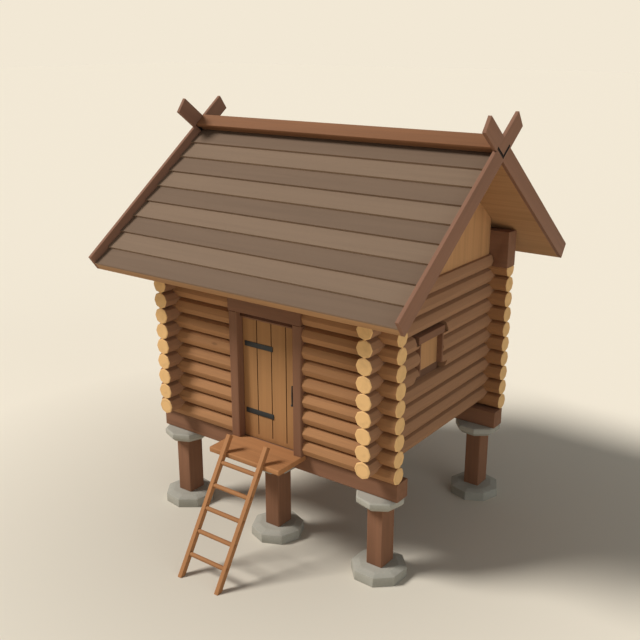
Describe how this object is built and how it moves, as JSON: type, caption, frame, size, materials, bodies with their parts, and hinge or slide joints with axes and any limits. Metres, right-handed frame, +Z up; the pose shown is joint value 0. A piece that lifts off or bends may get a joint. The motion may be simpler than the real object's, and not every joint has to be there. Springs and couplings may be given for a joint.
{
  "type": "raised granary",
  "caption": "Log store house raised on staddle posts, with a boarded gable roof, crossed bargeboards, a hinged plank door, a landing and a leaning ladder",
  "frame": {"origin": "centre of the whole footprint, ladder and roof overhang included, at ground level", "axes": "+X runs along the front wall to the right, +Y from the door into the building, +Z up"},
  "size_m": [4.39, 4.7448, 5.1817],
  "materials": {
    "stone": null,
    "dark_timber": "dark stained hewn timber",
    "log_timber": "peeled round logs, matt",
    "board_timber": "sawn boards, matt",
    "roof_dark": "weathered brown roof boards, matt",
    "roof_light": "lighter weathered roof boards, matt",
    "barge_timber": "reddish brown planed boards, matt",
    "door_timber": "planed boards, matt",
    "ladder_timber": "planed pale timber, matt",
    "iron": "blackened wrought iron"
  },
  "bodies": {
    "granary": {"front_footings": "stone", "back_footings": "stone", "front_staddle_caps": "stone", "back_staddle_caps": "stone", "front_posts": "dark_timber", "back_posts": "dark_timber", "front_sill": "dark_timber", "back_sill": "dark_timber", "floor_joists": "dark_timber", "floor_boards": "board_timber", "gable_skirting_boards": "board_timber", "front_wall_left_logs": "log_timber", "front_wall_right_logs": "log_timber", "front_wall_top_log": "log_timber", "back_wall_logs": "log_timber", "left_gable_logs": "log_timber", "right_gable_logs": "log_timber", "front_wall_plate": "dark_timber", "back_wall_plate": "dark_timber", "ridge_beam": "dark_timber", "king_posts": "dark_timber", "left_gable_boards": "board_timber", "right_gable_boards": "board_timber", "front_roof_deck": "board_timber", "back_roof_deck": "board_timber", "front_roof_dark_courses": "roof_dark", "back_roof_dark_courses": "roof_dark", "front_roof_light_courses": "roof_light", "back_roof_light_courses": "roof_light", "ridge_cap": "barge_timber", "left_front_bargeboard": "barge_timber", "left_back_bargeboard": "barge_timber", "right_front_bargeboard": "barge_timber", "right_back_bargeboard": "barge_timber", "left_door_jamb": "dark_timber", "right_door_jamb": "dark_timber", "door_lintel": "dark_timber", "door_pintles": "iron", "window_frame": "dark_timber", "window_shutter": "door_timber", "landing_board": "ladder_timber", "landing_arms": "dark_timber", "ladder_left_stile": "ladder_timber", "ladder_right_stile": "ladder_timber", "ladder_rungs": "ladder_timber"},
    "door": {"door_leaf": "door_timber", "door_straps": "iron", "door_handle": "iron"}
  },
  "joints": [
    {"name": "door_hinge", "type": "hinge", "parent": "granary", "child": "door", "pos_m": [-0.397, -0.95543, 2.06], "axis": [0, 0, 1], "range_deg": [0, 90]}
  ]
}
